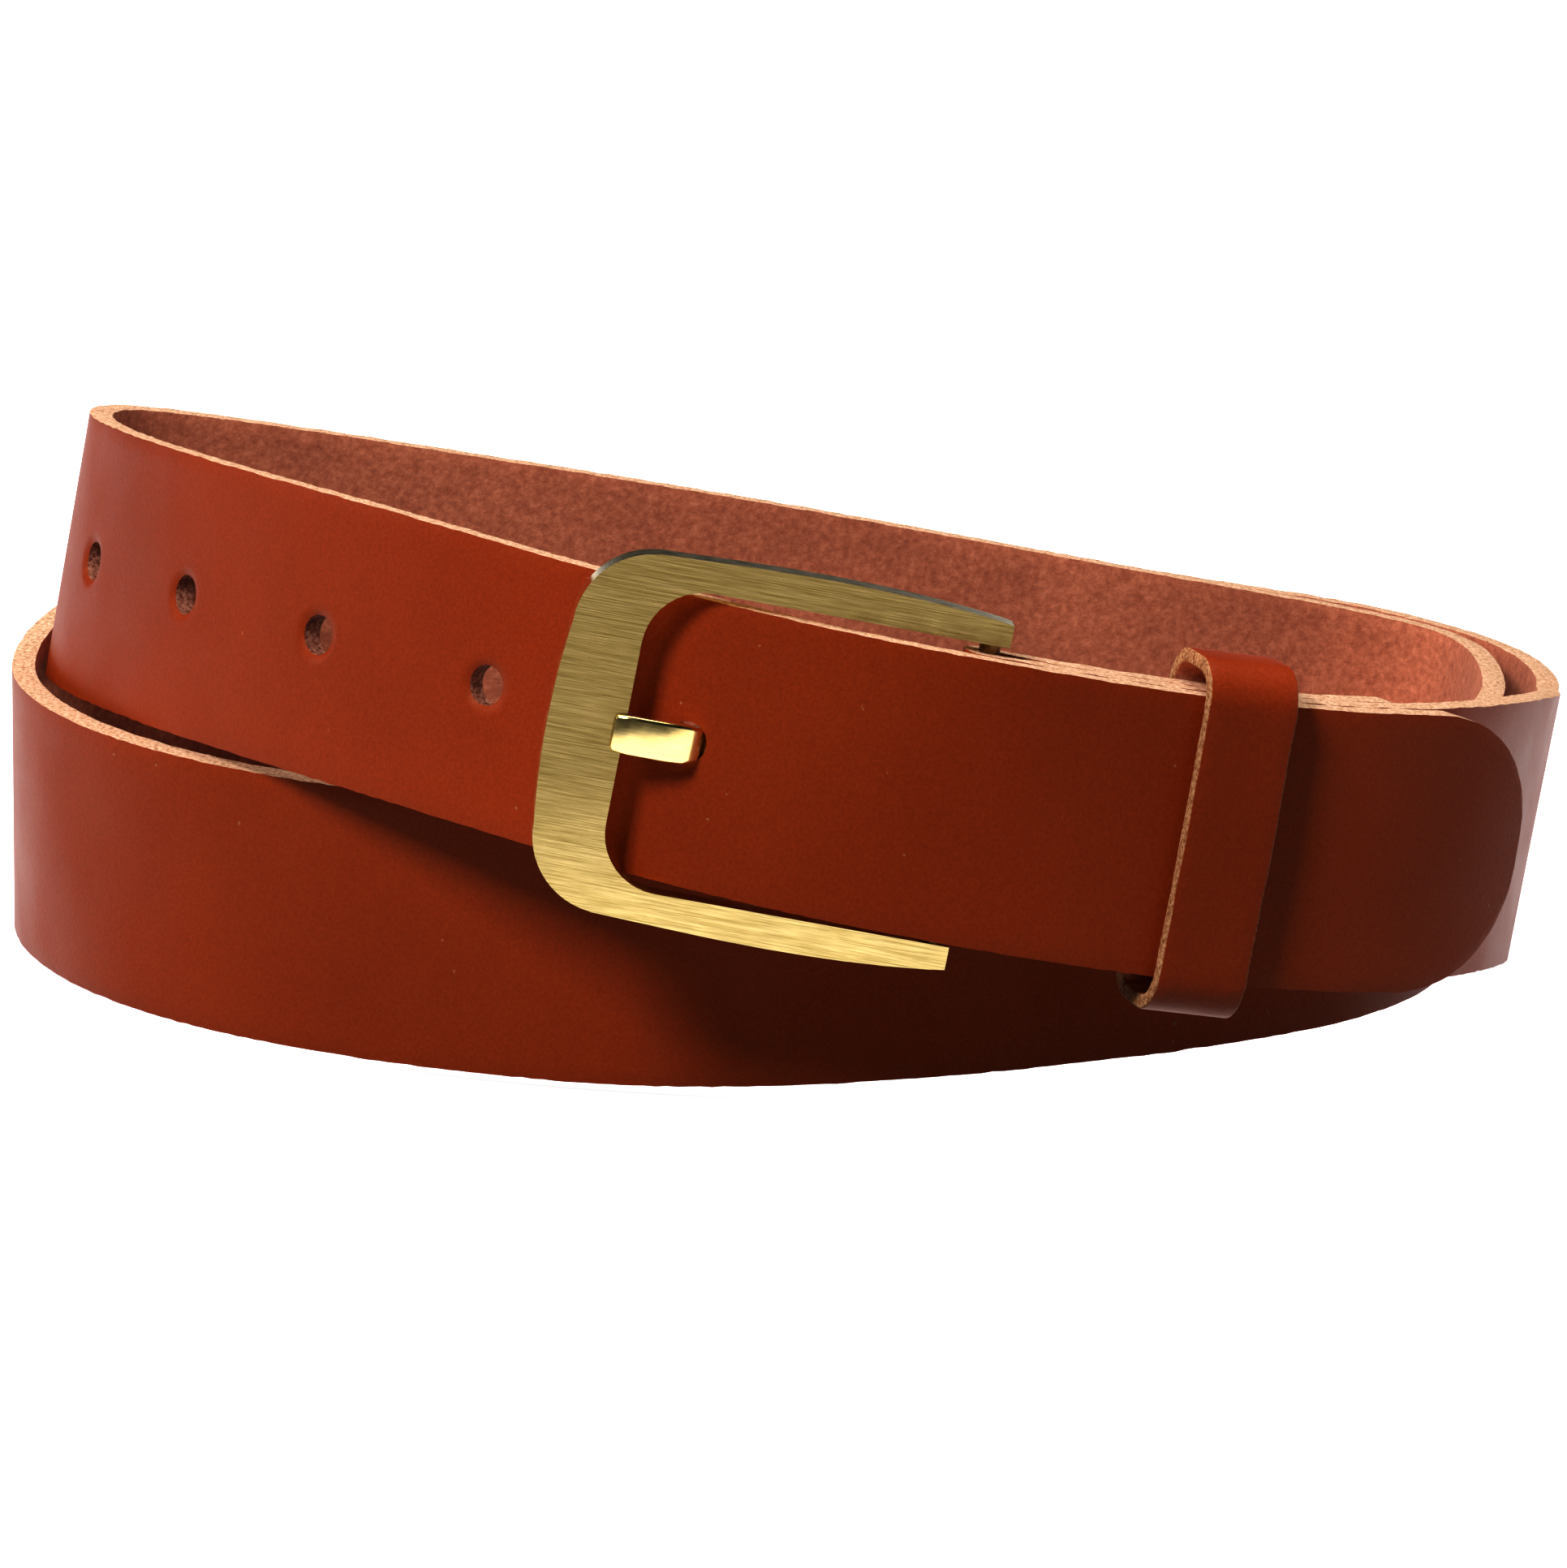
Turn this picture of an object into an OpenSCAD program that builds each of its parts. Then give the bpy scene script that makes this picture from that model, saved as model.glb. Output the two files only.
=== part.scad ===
// Leather waist belt, coiled two turns and buckled, with a U-shaped brass buckle.
// +Z is up, +X runs along the coil and the buckle faces -Y. The coil stands on its strap edge.
// The strap is one piece of leather. It is drawn as eight lengths that meet face to face.
// A place along it is a winding angle: 0 is the right end of the outer turn, 90 the back, 180 the
// left end, 270 the front of the lower turn, and 360 to 678 the upper turn up to the tip.

/* [Strap] */
// Width of the strap
strap_w = 35; // [28:0.5:45]
// Thickness of the leather
strap_t = 3; // [2:0.1:4]
// Thickness of the leather where it is pared down to fold round the bar
fold_t = 1.8; // [1.2:0.1:2.4]
// Air between two plies that lie together
ply_gap = 0.3; // [0.1:0.05:0.6]
// Length of the rounded end of the tip
tip_nose = 17; // [10:1:30]
// Distance between neighbouring punched holes
hole_pitch = 28; // [22:1:32]
// Diameter of a punched hole
hole_d = 5; // [4.8:0.1:6]

/* [Coil] */
// Reach of the outer turn to the right of the tilt line
reach_right = 83; // [70:1:100]
// Reach of the lower turn to the left of the middle
reach_left = 110.5; // [95:0.5:130]
// Depth of the outer turn behind the middle
depth_back = 40.5; // [34:0.5:50]
// Depth of the lower turn in front of the middle
depth_front = 70; // [60:1:84]
// How far the tip run stands in front of the lower turn at the middle
tip_stand_off = 26; // [20:1:34]
// Step from the outer to the inner bend at the right end
bend_step = 7.5; // [5:0.5:10]
// Step from the outer to the inner turn at the back
back_step = 9; // [6:0.5:12]
// Angle by which the upper turn climbs towards the left
climb = 9.5; // [8.5:0.1:11]
// Angle by which the upper turn leans back
lean = 5.6; // [4:0.1:7]

/* [Buckle] */
// Length of the buckle from the middle of the bar to its left edge
buckle_l = 51; // [48:0.5:58]
// Height of the window in the buckle frame, over that of the strap
window_room = 2.4; // [1.6:0.1:4]
// Height of each arm of the frame where it leaves the corner
arm_h = 3.55; // [3.2:0.05:6]
// Width of the left bar of the frame
left_bar_w = 9.4; // [6:0.1:12]
// Thickness of the buckle frame
frame_t = 4; // [3.6:0.1:5]
// Radius of the frame's outer corners
corner_r = 8.5; // [5:0.5:11]
// How far the left bar bows outwards
left_bow = 0.8; // [0.2:0.1:1.6]
// Height of an arm's end
arm_end = 3; // [2:0.1:3.4]
// Diameter of the heel bar
bar_d = 2.6; // [2:0.1:3]
// Width of the tongue
tongue_w = 4; // [3:0.1:4.2]
// Thickness of the tongue
tongue_t = 2; // [1.6:0.1:2.4]
// Distance along the strap from the heel bar to the hole that the tongue is in
tongue_reach = 34; // [32:0.5:36]

/* [Keeper] */
// Width of the keeper loop along the strap
keeper_w = 11.5; // [8:0.5:14]
// Thickness of the keeper leather
keeper_t = 1.8; // [1.2:0.1:2.4]
// Room between the strap's edge and the keeper, above and below
keeper_rise = 2.7; // [1:0.1:4]
// Distance along the strap from the heel bar to the middle of the keeper
keeper_place = 31; // [28:0.5:34]

/* [Fold rivets] */
// Distance along the strap from the heel bar to the near rivet
rivet_near = 16; // [15.5:0.5:17]
// Distance along the strap from the heel bar to the far rivet
rivet_far = 48; // [46:0.5:52]
// Diameter of a rivet head
rivet_head_d = 8; // [6:0.5:9]
// Outer diameter of a rivet barrel
barrel_d = 4.8; // [4:0.1:5.2]
// Diameter of a rivet screw
screw_d = 2.9; // [2:0.1:3.2]

/* [Hidden] */
$fn = 48;
leather = "#a4461f";
brass = "#c9a24a";
steel = "#b8b8b4";

// ---- Winding: where the strap's middle line runs ----
bar_place = 634;
tip_place = 678;
turns = 720;
first_place = bar_place - turns;
step = 2;
ply = strap_t + ply_gap;

function smooth(t) = let (c = max(0, min(1, t))) 0.5 - 0.5 * cos(180 * c);
function rise(a, from, to) = smooth((a - from) / (to - from));
// Eases from v[i] at winding angle at[i] to v[i + 1] at at[i + 1]
function eased(a, at, v, i = 0) =
    i >= len(at) - 1 ? v[0] : (v[i + 1] - v[i]) * rise(a, at[i], at[i + 1]) + eased(a, at, v, i + 1);
function unit(v) = v / norm(v);

// Half length, depth and squareness of the oval at each quarter turn
half_l_at = [0, 180, 360, 540, 720];
half_l_v = [reach_right, reach_left, reach_right - bend_step, reach_left - 1.6, reach_right + 15.5];
depth_at = [90, 270, 450, 630];
depth_v = [depth_back, depth_front, depth_back - back_step, depth_front + tip_stand_off];
square_at = [45, 135, 225, 315, 405, 495, 585, 675];
square_v = [-0.055, -0.02, -0.03, -0.055, -0.055, 0.085, 0.01, -0.015];
// The upper turn is lifted where it crosses over the edge of the lower one
// and the back of the outer turn sits a little lower than the inner one
lift_at = [50, 78, 125, 165, 470, 540, 600, 650, 698];
wide = strap_w - 35;
lift_v = [0, -1.3, -1.3, 0, 0, 0.6 + 0.7 * wide, 5.6 + wide, 4.6 + wide, 7.2 + wide];
// Line about which the upper turn tilts
tilt_line = [68, 30];

// 1 where the strap belongs to the tilted upper turn and 0 on the level lower turn
function tilted(a) = 1 - rise(a, 68, 188) + rise(a, 251, 351);
function up(a) = let (t = climb * tilted(a), l = lean * tilted(a)) [sin(t), cos(t) * sin(l), cos(t) * cos(l)];
function aft(a) = let (l = lean * tilted(a)) [0, cos(l), -sin(l)];
function oval(a) = let (q = eased(a, square_at, square_v))
    [eased(a, half_l_at, half_l_v) * (cos(a) + q * cos(3 * a)),
     eased(a, depth_at, depth_v) * (sin(a) - q * sin(3 * a))] / (1 + q);
function path(a) = let (p = oval(a) - tilt_line)
    [tilt_line.x, tilt_line.y, eased(a, lift_at, lift_v)]
    + p.x * cross(aft(a), up(a)) + p.y * aft(a) + up(a) * strap_w / 2;
function path_out(a) = unit(cross(path(a + 0.5) - path(a - 0.5), up(a)));
// Behind the tip run the buckle end lies one ply further in, then it swings out to the outer bend
function middle_line(a) = a > 20 ? path(a) :
    let (s = rise(a, -57, -7), b = a + turns)
    (1 - s) * (path(b) - path_out(b) * ply) + s * path(a);

// The coil is moved so that its box is centred and it stands on z = 0
marks = [for (a = first_place; a <= tip_place; a = a + step) a];
line = [for (a = marks) middle_line(a)];
function spread(k) = [min([for (p = line) p[k]]), max([for (p = line) p[k]])];
buckle_proud = 0.15;
lean_room = strap_w / 2 * sin(climb);
low = min([for (i = [0:len(marks) - 1]) line[i].z - strap_w / 2 * up(marks[i]).z]) - strap_t * sin(lean);
home = [-(spread(0)[0] + spread(0)[1]) / 2 - lean_room / 2,
        -(spread(1)[0] + spread(1)[1]) / 2 + buckle_proud / 2, -low];

function middle(a) = middle_line(a) + home;
function along(a) = unit(middle(a + 0.5) - middle(a - 0.5));
function out(a) = unit(cross(along(a), up(a)));
function tall(a) = cross(out(a), along(a));
function place(a, off, w) = middle(a) + out(a) * off + tall(a) * w;

// Length run from the heel bar's place to each mark, and back from a length to a winding angle
runs = [for (i = 0, s = 0; i < len(marks); s = s + (i + 1 < len(marks) ? norm(line[i + 1] - line[i]) : 0), i = i + 1) s];
function run_at(a) = lookup(a, [for (i = [0:len(marks) - 1]) [marks[i], runs[i]]]);
function place_at(s) = lookup(s, [for (i = [0:len(marks) - 1]) [runs[i], marks[i]]]);
// Winding angle on the tip run, a length to the right of the bar; the buckle end is two turns before
function right_of_bar(d) = place_at(run_at(bar_place) + d);
function left_of_bar(d) = place_at(run_at(bar_place) - d);

// ---- Leather lengths ----
// A row is [winding angle, inner face, outer face, lower edge, upper edge], measured from the middle
function ring(r) = [place(r[0], r[1], r[3]), place(r[0], r[2], r[3]), place(r[0], r[2], r[4]), place(r[0], r[1], r[4])];
module leather_rings(rings) {
    n = len(rings);
    sides = [for (i = [0:n - 2], k = [0:3]) let (a = 4 * i + k, b = 4 * i + (k + 1) % 4)
        each [[a, b, a + 4], [b, b + 4, a + 4]]];
    last = 4 * (n - 1);
    ends = [[2, 1, 0], [3, 2, 0], [last, last + 1, last + 2], [last, last + 2, last + 3]];
    polyhedron([for (r = rings) each r], concat(sides, ends));
}
module leather_length(rows) {
    leather_rings([for (r = rows) ring(r)]);
}
function angles(from, to) = let (n = ceil((to - from) / step)) [for (i = [0:n]) from + (to - from) * i / n];
function full_rows(from, to) = [for (a = angles(from, to)) [a, -strap_t / 2, strap_t / 2, -strap_w / 2, strap_w / 2]];

// Puts its children at a winding angle: +X runs to the left along the strap, +Y out of its face
module at_place(a) {
    x = -along(a);
    y = out(a);
    z = tall(a);
    o = middle(a);
    multmatrix([[x.x, y.x, z.x, o.x], [x.y, y.y, z.y, o.y], [x.z, y.z, z.z, o.z], [0, 0, 0, 1]]) children();
}
// A rod across the leather, from y0 to y1 along the outward direction
module rod_y(d, y0, y1) {
    translate([0, y0, 0]) rotate([-90, 0, 0]) cylinder(h = y1 - y0, d = d);
}

// The rounded end of the tip: the half width falls to nothing along a quarter of an oval
nose_from = place_at(run_at(tip_place) - tip_nose);
nose_flat = 0.12;
function nose_half(t) = strap_w / 2 * (nose_flat + (1 - nose_flat) * sqrt(1 - t * t));
function nose_rows() = [for (i = [1:12]) let (t = sin(90 * i / 12))
    [nose_from + (tip_place - nose_from) * t, -strap_t / 2, strap_t / 2, -nose_half(t), nose_half(t)]];
tongue_hole = left_of_bar(tongue_reach);
function hole_place(i) = place_at(run_at(tongue_hole) - i * hole_pitch);
// The lengths part half way between two holes
function between_holes(i) = place_at(run_at(tongue_hole) - (i + 0.5) * hole_pitch);
upper_from = 350;
lower_from = 165;
module punch(first, last) {
    for (i = [first:last]) at_place(hole_place(i)) rod_y(hole_d, -strap_t, strap_t);
}

module strap_tip_run() {
    color(leather) difference() {
        leather_length(concat(full_rows(between_holes(0), nose_from), nose_rows()));
        punch(0, 0);
    }
}

module strap_near_holes() {
    color(leather) difference() {
        leather_length(full_rows(between_holes(2), between_holes(0)));
        punch(1, 2);
    }
}

module strap_far_holes() {
    color(leather) difference() {
        leather_length(full_rows(between_holes(4), between_holes(2)));
        punch(3, 4);
    }
}

module strap_upper_turn() {
    color(leather) leather_length(full_rows(upper_from, between_holes(4)));
}

module strap_lower_turn() {
    color(leather) leather_length(full_rows(lower_from, upper_from));
}

outer_from = 0;
module strap_outer_turn() {
    color(leather) leather_length(full_rows(outer_from, lower_from));
}

// ---- Fold round the heel bar ----
bar_air = 0.05;
bar_off = strap_t / 2 - fold_t - bar_air - bar_d / 2;
inner_r = bar_d / 2 + bar_air;
bar_at = right_of_bar(0) - turns;
return_l = rivet_far + 7;
pare_l = 11;
function fold_place(d) = right_of_bar(d) - turns;
// How far the two plies have closed up on each other, from the bar to the end of the pared length
function closed(d) = smooth(d / pare_l);
function mix(a, b, t) = a + (b - a) * t;
fold_rows = [0, 1.5, 3, 4.5, 6, 7.5, 9, pare_l];
return_in = -strap_t / 2 - ply_gap / 2 - strap_t;
back_rows = concat([for (k = [0:13]) return_l + (pare_l - return_l) * k / 14], [for (i = [len(fold_rows) - 1:-1:0]) fold_rows[i]]);
// The return ply from its end to the bar, the turn round the bar, then the front ply
function front_ring(d) = ring([fold_place(d), mix(bar_off + inner_r, -strap_t / 2, closed(d)), strap_t / 2,
    -strap_w / 2, strap_w / 2]);
function back_ring(d) = ring([fold_place(d), mix(bar_off - inner_r, return_in + strap_t, closed(d)),
    mix(bar_off - inner_r - fold_t, return_in, closed(d)), -strap_w / 2, strap_w / 2]);
function turn_point(f, r, w) = place(bar_at, bar_off + r * sin(f), w) - along(bar_at) * r * cos(f);
function turn_ring(f) = [turn_point(f, inner_r, -strap_w / 2), turn_point(f, inner_r + fold_t, -strap_w / 2),
    turn_point(f, inner_r + fold_t, strap_w / 2), turn_point(f, inner_r, strap_w / 2)];
slot_w = tongue_w + 1.6;
slot_l = 9;
rivets = [rivet_near, rivet_far];

module strap_fold() {
    color(leather) difference() {
        leather_rings(concat([for (d = back_rows) back_ring(d)], [for (f = [-82.5:7.5:82.5]) turn_ring(f)],
            [for (d = fold_rows) front_ring(d)]));
        at_place(fold_place(0)) translate([-slot_l, -strap_w / 2, -slot_w / 2]) cube([2 * slot_l, strap_w, slot_w]);
        for (d = rivets) at_place(fold_place(d)) rod_y(barrel_d + 0.1, return_in - 1, return_in + strap_t + 0.1);
    }
}

module strap_buckle_end() {
    color(leather) difference() {
        leather_length(full_rows(fold_place(pare_l), outer_from));
        for (d = rivets) at_place(fold_place(d)) {
            rod_y(barrel_d + 0.1, -strap_t, strap_t);
            rod_y(rivet_head_d + 0.4, strap_t / 2 - recess, strap_t);
        }
    }
}

// ---- Rivets that hold the fold: a headed barrel from behind and a screw from the front ----
recess = 1.2;
head_t = 1;
seat_gap = 0.15;
barrel_back = return_in - seat_gap;
barrel_front = strap_t / 2 - recess + 0.05;

module rivet_barrels() {
    color(brass) for (d = rivets) at_place(fold_place(d)) difference() {
        union() {
            rod_y(rivet_head_d, barrel_back - head_t, barrel_back);
            rod_y(barrel_d, barrel_back - 0.1, barrel_front);
        }
        rod_y(screw_d + 0.04, barrel_back + 0.5, barrel_front + 1);
    }
}

module rivet_screws() {
    color(brass) for (d = rivets) at_place(fold_place(d)) {
        rod_y(screw_d, barrel_back + 1, barrel_front + 0.2);
        rod_y(rivet_head_d, barrel_front, barrel_front + head_t - 0.1);
    }
}

// ---- Buckle ----
// The buckle's frame of reference is at the middle of the bar: +X runs to the left bar
bar_mid = place(bar_at, bar_off, 0);
// Angle that brings the left bar down on to the tip run; the strap twists, so the bar is held off it
seat_rise = 1.2;
seat_place = left_of_bar(buckle_l - left_bar_w);
seat = place(seat_place, strap_t / 2 + seat_rise, 0) - bar_mid;
seat_y = (seat * out(bar_at) + frame_t / 2) / norm(seat);
swing = asin(seat_y);
module at_bar() {
    at_place(bar_at) translate([0, bar_off, 0]) rotate([0, 0, swing]) children();
}
// A point given in the model's frame, as [x, y] in the buckle's own frame
function in_buckle(p) = let (q = p - bar_mid, u = -q * along(bar_at), v = q * out(bar_at))
    [u * cos(swing) + v * sin(swing), v * cos(swing) - u * sin(swing)];

window_h = strap_w + window_room;
arm_back = 2.2;
inner_corner_r = 5.5;
function arc(c, r, from, to, n = 10) = [for (i = [0:n]) c + r * [cos(from + (to - from) * i / n), sin(from + (to - from) * i / n)]];
half_window = window_h / 2;
half_h = half_window + arm_h;
bow_r = (pow(half_h - corner_r, 2) + pow(left_bow, 2)) / (2 * left_bow);
bow_half = asin((half_h - corner_r) / bow_r);
frame_outline = concat(
    [[-arm_back, half_window + arm_end], [10, half_h - 0.4]],
    arc([buckle_l - left_bow - corner_r, half_h - corner_r], corner_r, 85, 5),
    arc([buckle_l - bow_r, 0], bow_r, bow_half * 0.9, -bow_half * 0.9),
    arc([buckle_l - left_bow - corner_r, corner_r - half_h], corner_r, -5, -85),
    [[10, 0.4 - half_h], [-arm_back, -half_window - arm_end], [-arm_back, -half_window]],
    arc([buckle_l - left_bar_w - inner_corner_r, inner_corner_r - half_window], inner_corner_r, -90, 0),
    arc([buckle_l - left_bar_w - inner_corner_r, half_window - inner_corner_r], inner_corner_r, 0, 90),
    [[-arm_back, half_window]]);
notch_depth = 1.1;
notch_r = tongue_w / 2 + 0.8;
window_l = buckle_l - left_bar_w;
notch_x = window_l + 0.2;

module buckle_frame() {
    color(brass) at_bar() difference() {
        rotate([90, 0, 0]) translate([0, 0, -frame_t / 2]) linear_extrude(frame_t) polygon(frame_outline);
        translate([0, 0, -strap_w]) cylinder(h = 2 * strap_w, d = bar_d);
        translate([notch_x, 0, 0]) rod_y(2 * notch_r, frame_t / 2 - notch_depth, frame_t);
    }
}

bar_end = half_window + arm_end - 0.3;
module heel_bar() {
    color(steel) at_bar() translate([0, 0, -bar_end]) cylinder(h = 2 * bar_end, d = bar_d);
}

// The tongue runs behind the tip run, turns out through its hole and lies in the notch
eye_r = bar_d / 2 + 1.7;
hole_in = in_buckle(place(tongue_hole, -strap_t / 2, 0));
hole_out = in_buckle(place(tongue_hole, strap_t / 2, 0));
hole_way = unit(hole_out - hole_in);
hole_side = [-hole_way.y, hole_way.x];
shank_drop = 2.6;
shank_half = 0.8;
knee_in = hole_in - hole_way * shank_drop;
knee_out = hole_out + hole_way * 0.8;
tip_x = window_l + 1.5;
rest_y = frame_t / 2 - notch_depth + 0.1;
tongue_side = [
    [1, 0.1 - eye_r],
    knee_in - hole_way * tongue_t + hole_side * 0.3,
    knee_in - hole_way * tongue_t / 2 - hole_side * shank_half,
    hole_out - hole_side * shank_half + hole_way * 0.5,
    [tip_x - 2.2, rest_y],
    [tip_x, rest_y],
    [tip_x, rest_y + 0.9 * tongue_t],
    [tip_x - 0.8, rest_y + tongue_t],
    knee_out + hole_way * (tongue_t + 0.3) + [2.2, 0],
    knee_out + hole_way * tongue_t * 0.8 + hole_side * shank_half / 2,
    knee_in + hole_side * shank_half,
    [1, -0.2]];

module tongue() {
    color(brass) at_bar() translate([0, 0, -tongue_w / 2]) difference() {
        union() {
            cylinder(h = tongue_w, r = eye_r);
            linear_extrude(tongue_w) polygon(tongue_side);
        }
        translate([0, 0, -1]) cylinder(h = tongue_w + 2, d = bar_d + 0.1);
    }
}

// ---- Keeper ----
// The loop passes round three plies: the return ply, the buckle end and the tip run
keeper_air = 1;
keeper_at = fold_place(keeper_place);
keeper_in = return_in - keeper_air;
keeper_out = strap_t / 2 + ply + keeper_air;
keeper_half = strap_w / 2 + keeper_rise;
keeper_r = 3.4;
module rounded_block(x, y0, y1, half, r) {
    // Extruded along the strap, with its long corners rounded
    translate([-x / 2, 0, 0]) rotate([90, 0, 90]) linear_extrude(x) union() {
        translate([y0, r - half]) square([y1 - y0, 2 * half - 2 * r]);
        translate([y0 + r, -half]) square([y1 - y0 - 2 * r, 2 * half]);
        for (y = [y0 + r, y1 - r], z = [r - half, half - r]) translate([y, z]) circle(r);
    }
}

// The keeper's ends meet behind the strap and two wire staples hold them together
staple_d = 0.8;
staple_x = 2.6;
staple_half = 3;
keeper_back = keeper_in - keeper_t;
module staple_legs() {
    for (x = [-staple_x, staple_x], z = [-staple_half, staple_half])
        translate([x, 0, z]) rod_y(staple_d, keeper_back - staple_d / 2, keeper_in - 0.4);
}

module keeper_loop() {
    color(leather) at_place(keeper_at) difference() {
        rounded_block(keeper_w, keeper_back, keeper_out + keeper_t, keeper_half + keeper_t, keeper_r + keeper_t);
        rounded_block(keeper_w + 2, keeper_in, keeper_out, keeper_half, keeper_r);
        translate([-keeper_w, keeper_back - 1, -0.2]) cube([2 * keeper_w, keeper_t + 2, 0.4]);
        staple_legs();
    }
}

module keeper_staple() {
    color(steel) at_place(keeper_at) {
        for (x = [-staple_x, staple_x]) translate([x, keeper_back - staple_d / 2, -staple_half])
            cylinder(h = 2 * staple_half, d = staple_d);
        staple_legs();
    }
}

strap_tip_run();
strap_near_holes();
strap_far_holes();
strap_upper_turn();
strap_lower_turn();
strap_outer_turn();
strap_buckle_end();
strap_fold();
buckle_frame();
heel_bar();
tongue();
keeper_loop();
keeper_staple();
rivet_barrels();
rivet_screws();
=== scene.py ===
import math

import bpy
import numpy as np
from mathutils import Matrix, Vector, noise


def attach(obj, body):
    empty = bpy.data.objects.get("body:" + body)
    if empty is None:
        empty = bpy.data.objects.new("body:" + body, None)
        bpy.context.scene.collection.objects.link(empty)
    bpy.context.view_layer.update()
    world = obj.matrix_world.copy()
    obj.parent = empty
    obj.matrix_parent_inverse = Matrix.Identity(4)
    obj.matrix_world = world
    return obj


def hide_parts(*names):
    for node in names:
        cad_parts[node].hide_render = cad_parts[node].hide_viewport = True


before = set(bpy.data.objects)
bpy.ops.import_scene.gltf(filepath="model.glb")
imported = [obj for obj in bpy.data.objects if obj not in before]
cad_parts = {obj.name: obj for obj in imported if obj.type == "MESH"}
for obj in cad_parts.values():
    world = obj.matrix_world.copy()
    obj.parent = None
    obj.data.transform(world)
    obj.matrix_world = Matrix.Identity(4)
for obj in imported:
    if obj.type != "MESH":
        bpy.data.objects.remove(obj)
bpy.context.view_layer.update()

mm = 0.001

# the camera comes first, then the floor and the lights
cameraSizes = {
    "place": (5.53 * mm, -1112.6 * mm, 342.5 * mm),
    "yaw": -0.005,
    "pitch": -0.2754,
    "roll": 0.0142,
    "lens": 207.1,
    "sensor": 36.0,
}
floorSizes = {"size": 12, "glow": 0.9, "white": 0.94}
lightSizes = {
    "world": (0.10, 0.75),  # seen to the front, and to the back and above
    "key": {"place": (-0.55, -0.7, 0.95), "size": 0.35, "power": 15.0},
    "left": {"place": (-1.2, 0.1, 0.45), "size": 0.4, "power": 3.4},
    "right": {"place": (1.1, 0.15, 0.5), "size": 0.4, "power": 3.4},
    "top": {"place": (0.0, 0.15, 1.2), "size": 0.8, "power": 10.5},
}


def makeCamera(c):
    cosP = math.cos(c["pitch"])
    ahead = Vector((math.sin(c["yaw"]) * cosP, math.cos(c["yaw"]) * cosP, math.sin(c["pitch"])))
    side = Vector((math.cos(c["yaw"]), -math.sin(c["yaw"]), 0))
    top = side.cross(ahead)
    cosR, sinR = math.cos(c["roll"]), math.sin(c["roll"])
    side, top = cosR * side + sinR * top, -sinR * side + cosR * top
    cam = bpy.data.objects.new("camera", bpy.data.cameras.new("camera"))
    bpy.context.collection.objects.link(cam)
    turn = Matrix((side, top, -ahead)).transposed().to_4x4()
    cam.matrix_world = Matrix.Translation(c["place"]) @ turn
    cam.data.lens = c["lens"]
    cam.data.sensor_width = c["sensor"]
    cam.data.clip_start, cam.data.clip_end = 0.05, 20
    bpy.context.scene.camera = cam


def newMaterial(name):
    mat = bpy.data.materials.new(name)
    mat.use_nodes = True
    return mat, mat.node_tree, mat.node_tree.nodes["Principled BSDF"]


def deselectAll():
    if bpy.context.object and bpy.context.object.mode == "EDIT":
        bpy.ops.object.mode_set(mode="OBJECT")
    bpy.ops.object.select_all(action="DESELECT")


def makeFloor(f):
    deselectAll()
    bpy.ops.mesh.primitive_plane_add(size=f["size"], location=(0, 0, -0.1 * mm))
    floor = bpy.context.object
    floor.name = "floor"
    mat, tree, shader = newMaterial("paperWhite")
    shader.inputs["Base Color"].default_value = (f["white"], f["white"], f["white"], 1)
    shader.inputs["Roughness"].default_value = 0.9
    shader.inputs["Specular IOR Level"].default_value = 0.05
    shader.inputs["Emission Color"].default_value = (1, 1, 1, 1)
    shader.inputs["Emission Strength"].default_value = f["glow"]
    floor.data.materials.append(mat)
    floor.visible_diffuse = False  # the paper shows white but throws no light back


def makeLights(s):
    world = bpy.data.worlds.new("studio")
    world.use_nodes = True
    tree = world.node_tree
    split = tree.nodes.new("ShaderNodeSeparateXYZ")
    tree.links.new(tree.nodes.new("ShaderNodeTexCoord").outputs["Generated"], split.inputs[0])
    front = tree.nodes.new("ShaderNodeMapRange")
    front.interpolation_type = "SMOOTHSTEP"
    for key, value in zip(("From Min", "From Max", "To Min", "To Max"), (-0.75, 0.1, *s["world"])):
        front.inputs[key].default_value = value
    tree.links.new(split.outputs["Y"], front.inputs["Value"])
    tree.links.new(front.outputs["Result"], tree.nodes["Background"].inputs[1])
    bpy.context.scene.world = world
    for name in ("key", "left", "right", "top"):
        v = s[name]
        lamp = bpy.data.objects.new(name + "Light", bpy.data.lights.new(name + "Light", "AREA"))
        lamp.data.energy = v["power"]
        lamp.data.size = v["size"]
        lamp.location = v["place"]
        lamp.rotation_mode = "QUATERNION"
        lamp.rotation_quaternion = (Vector((0, 0, 0.03)) - Vector(v["place"])).to_track_quat("-Z", "Y")
        bpy.context.collection.objects.link(lamp)


makeCamera(cameraSizes)
makeFloor(floorSizes)
makeLights(lightSizes)
bpy.context.scene.view_settings.view_transform = "Standard"
bpy.context.scene.view_settings.gamma = 0.78
print("stage ready")

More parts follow.
